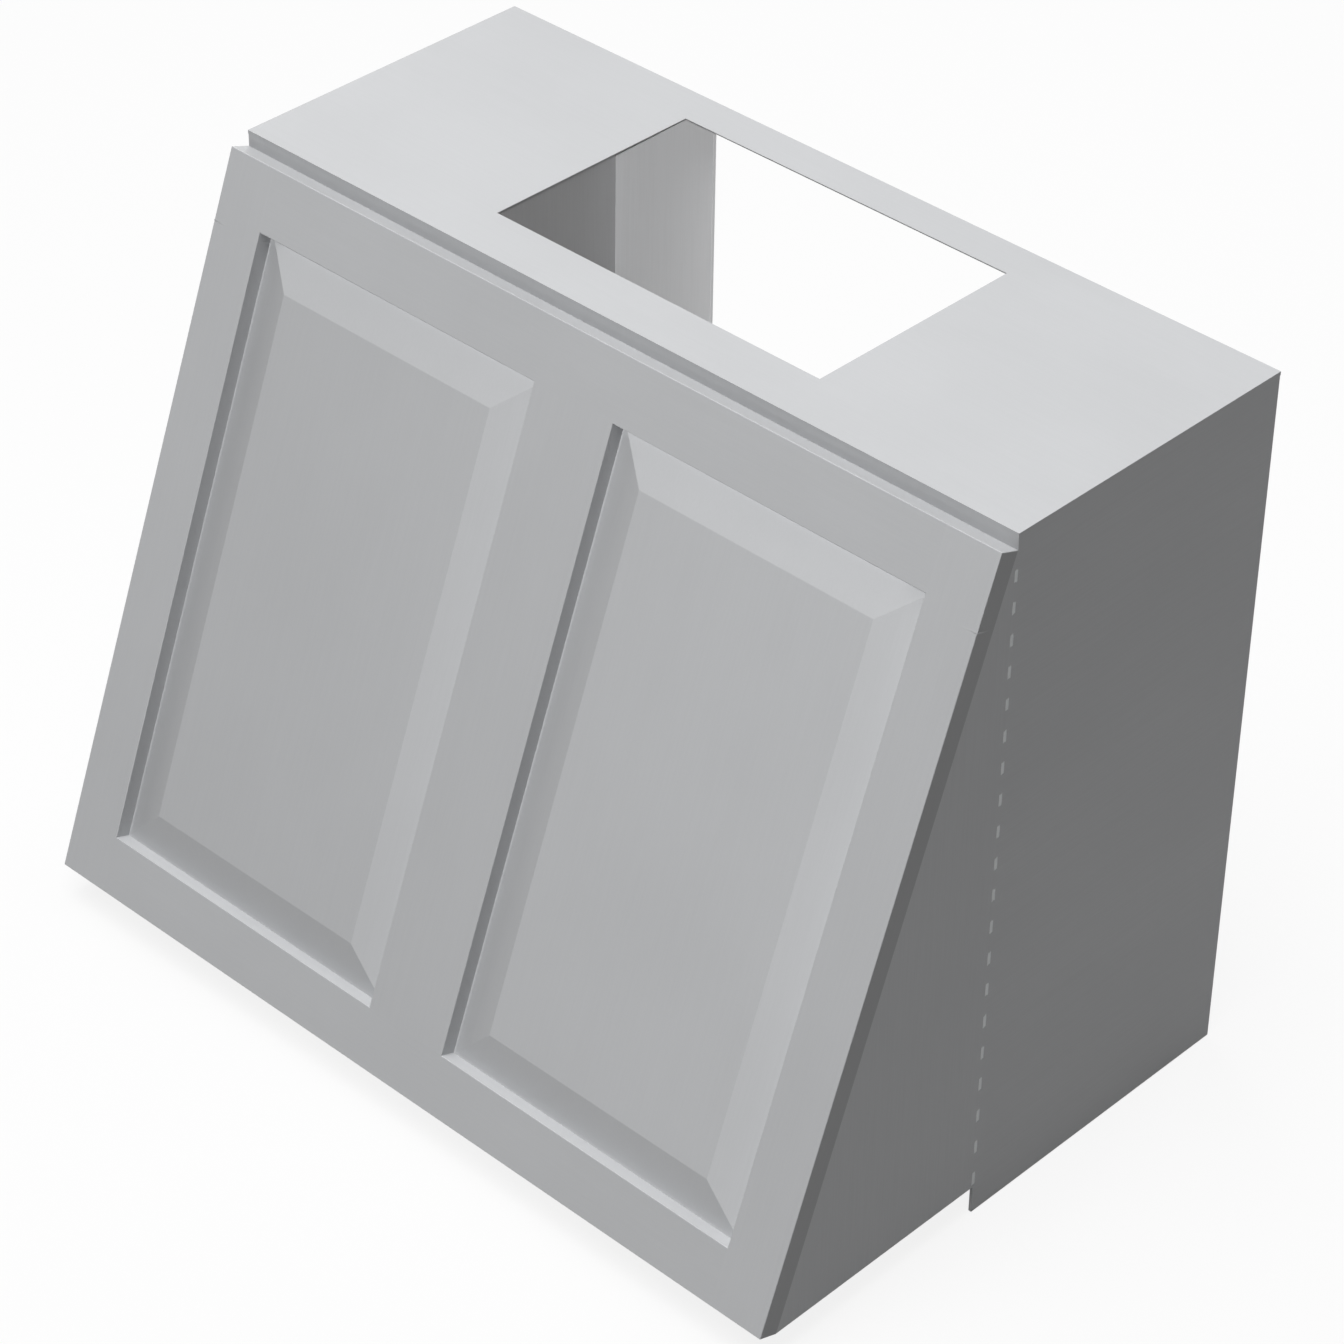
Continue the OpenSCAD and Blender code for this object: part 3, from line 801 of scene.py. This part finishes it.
def studio_floor():
    """A large pale sheet that reads white to the camera but still takes a shadow."""
    mesh = bpy.data.meshes.new("studio_floor")
    corners = [(-1, -1), (1, -1), (1, 1), (-1, 1)]
    points = [(x * floor_half, y * floor_half, -floor_drop) for x, y in corners]
    mesh.from_pydata(points, [], [(0, 1, 2, 3)])
    floor = bpy.data.objects.new("studio_floor", mesh)
    bpy.context.scene.collection.objects.link(floor)
    material = bpy.data.materials.new("pale floor")
    material.use_nodes = True
    tree = material.node_tree
    tree.nodes.remove(tree.nodes["Principled BSDF"])
    here = put(tree, "TexCoord").outputs["Object"]
    speckle = stretched_noise(tree, here, (60, 60, 60), 3)
    low = (floor_white - floor_mottle,) * 3 + (1,)
    high = (floor_white + floor_mottle,) * 3 + (1,)
    matt = put(tree, "BsdfDiffuse", {"Color": blend_colours(tree, speckle, low, high)})
    glow = put(tree, "Emission", {"Strength": 1.0})
    seen = put(tree, "MixShader", {0: floor_glow, 1: matt.outputs[0], 2: glow.outputs[0]})
    path = put(tree, "LightPath")
    looked_at = reckon(
        tree, "MAXIMUM", path.outputs["Is Camera Ray"], path.outputs["Is Glossy Ray"]
    )
    dim = put(tree, "BsdfDiffuse", {"Color": (floor_bounce,) * 3 + (1,)})
    shown = put(tree, "MixShader", {0: looked_at, 1: dim.outputs[0], 2: seen.outputs[0]})
    clear = put(tree, "BsdfTransparent")
    from_below = put(tree, "NewGeometry").outputs["Backfacing"]
    open_below = reckon(tree, "MULTIPLY", from_below, path.outputs["Is Camera Ray"])
    both = put(tree, "MixShader", {0: open_below, 1: shown.outputs[0], 2: clear.outputs[0]})
    tree.links.new(both.outputs[0], tree.nodes["Material Output"].inputs["Surface"])
    mesh.materials.append(material)


def bearing(azimuth, elevation):
    """The direction out from the object, azimuth 0 being straight in front of it."""
    turn, lift = math.radians(azimuth), math.radians(elevation)
    level = Vector((math.sin(turn), -math.cos(turn), 0))
    return level * math.cos(lift) + Vector((0, 0, math.sin(lift)))


def stand_lamp(light, aim, out, distance):
    """Stands a light at a distance along a bearing, looking back at its aim."""
    lamp = bpy.data.objects.new(light.name, light)
    lamp.location = aim + out * distance
    lamp.rotation_euler = out.to_track_quat("Z", "Y").to_euler()
    bpy.context.scene.collection.objects.link(lamp)
    return lamp


def soft_lamp(name, azimuth, elevation, width, power):
    """A large square soft lamp that looks at the middle of the object."""
    light = bpy.data.lights.new(name, "AREA")
    light.size = width
    light.energy = power
    aim = Vector((0, 0, lamp_aim_z))
    return stand_lamp(light, aim, bearing(azimuth, elevation), lamp_distance)


def light_only(lamp, pieces):
    """Lets a lamp fall on these pieces alone."""
    lit = bpy.data.collections.new(lamp.name + " lit")
    for piece in pieces:
        lit.objects.link(piece)
    lamp.light_linking.receiver_collection = lit


def pass_boards(lamp, boards):
    """Lets a lamp's light past some boards, so that they shade nothing from it."""
    casting = bpy.data.collections.new(lamp.name + " casting")
    for thing in bpy.context.scene.objects:
        if thing.type == "MESH" and thing not in boards:
            casting.objects.link(thing)
    lamp.light_linking.blocker_collection = casting


def white_surroundings():
    """White to the camera and in reflections, without lighting anything."""
    world = bpy.data.worlds.new("white studio")
    bpy.context.scene.world = world
    world.use_nodes = True
    tree = world.node_tree
    ground = tree.nodes["Background"]
    path = put(tree, "LightPath")
    looked_at = reckon(
        tree, "MAXIMUM", path.outputs["Is Camera Ray"], path.outputs["Is Glossy Ray"]
    )
    seen = reckon(tree, "MAXIMUM", looked_at, path.outputs["Is Transmission Ray"])
    strength = spread(tree, seen, 0.0, 1.0)
    ground.inputs["Color"].default_value = (1, 1, 1, 1)
    tree.links.new(strength, ground.inputs["Strength"])


def duct_beam(node, side, power):
    """A narrow lamp that looks down through the duct cut-out and falls on one inner board."""
    light = bpy.data.lights.new(node + " beam", "SPOT")
    light.energy = power
    light.spot_size = math.radians(beam_cone)
    light.shadow_soft_size = beam_half_w
    aim = Vector((side * beam_aim_x, (hole_low.y + hole_high.y) / 2, top_high.z))
    out = bearing(-side * beam_azimuth, beam_elevation)
    lamp = stand_lamp(light, aim, out, beam_distance)
    light_only(lamp, [bpy.data.objects[node + "_board"]])


beam_azimuth = 43.66
beam_elevation = 30.4
beam_cone = 8.0
beam_half_w = 0.01
beam_aim_x = 0.10
beam_distance = 3.27
lamp_distance = 5.0
lamp_aim_z = 0.3
high_lamps = (
    ("overhead lamp", 20, 72, 3.2, 206),
    ("high left lamp", -90, 75, 3.2, 78),
)
front_lamp = ("front lamp", -1, 1, 1.6, 52)
panel_lamps = (
    ("panel lamp", 41, 20, 1.6, 90),
    ("high panel lamp", 41, 74, 3.2, 224),
)
ledge_lamp = ("ledge lamp", 180, 60, 3.2, 63)
other_lamps = (
    ("top lamp", 180, 80, 3.2, 22),
    ("lamp behind", 180, 30, 1.6, 47),
    ("lamp behind on the left", -120, 8, 1.6, 45),
)
back_beam = 480
partition_beam = 145

studio_floor()
white_surroundings()
panels = [bpy.data.objects[side + "_raised_panel_board"] for side in ("left", "right")]
around = [thing for thing in bpy.context.scene.objects if thing.type == "MESH"]
around = [thing for thing in around if thing not in panels]
frame_pieces = [bpy.data.objects[node + "_board"] for node, *_ in frame_boards]
# The panels have lamps of their own, further to the right, that the frame doesn't shade
for settings in panel_lamps:
    lamp = soft_lamp(*settings)
    light_only(lamp, panels)
    pass_boards(lamp, frame_pieces)
# One more reaches the bottom rail's upper edges through all that stands behind them
lamp = soft_lamp(*ledge_lamp)
light_only(lamp, [bpy.data.objects["frame_bottom_rail_board"]])
pass_boards(lamp, [thing for thing in around if thing.name != "studio_floor"] + panels)
for settings in (*high_lamps, front_lamp):
    light_only(soft_lamp(*settings), around)
for settings in other_lamps:
    soft_lamp(*settings)
for side, across in (("left", -1), ("right", 1)):
    duct_beam(side + "_back_panel", across, back_beam)
    duct_beam(side + "_partition", across, partition_beam)

# Camera
# Set where the photograph was taken from, level with the right front corner and above.

camera_place = Vector((1.87671, -1.94182, 2.26738))
camera_azimuth = math.radians(43.351)
camera_elevation = math.radians(36.259)
camera_roll = math.radians(0.886)
camera_lens = 119.0
camera_sensor = 36.0

back = Vector(
    (
        math.sin(camera_azimuth) * math.cos(camera_elevation),
        -math.cos(camera_azimuth) * math.cos(camera_elevation),
        math.sin(camera_elevation),
    )
)
level = Vector((math.cos(camera_azimuth), math.sin(camera_azimuth), 0))
right = Matrix.Rotation(camera_roll, 3, back) @ level
view = bpy.data.cameras.new("photo view")
view.lens = camera_lens
view.sensor_width = camera_sensor
camera = bpy.data.objects.new("photo view", view)
camera.matrix_world = Matrix(
    (
        (right.x, back.cross(right).x, back.x, camera_place.x),
        (right.y, back.cross(right).y, back.y, camera_place.y),
        (right.z, back.cross(right).z, back.z, camera_place.z),
        (0, 0, 0, 1),
    )
)
bpy.context.scene.collection.objects.link(camera)
bpy.context.scene.camera = camera
bpy.context.scene.view_settings.view_transform = "Standard"
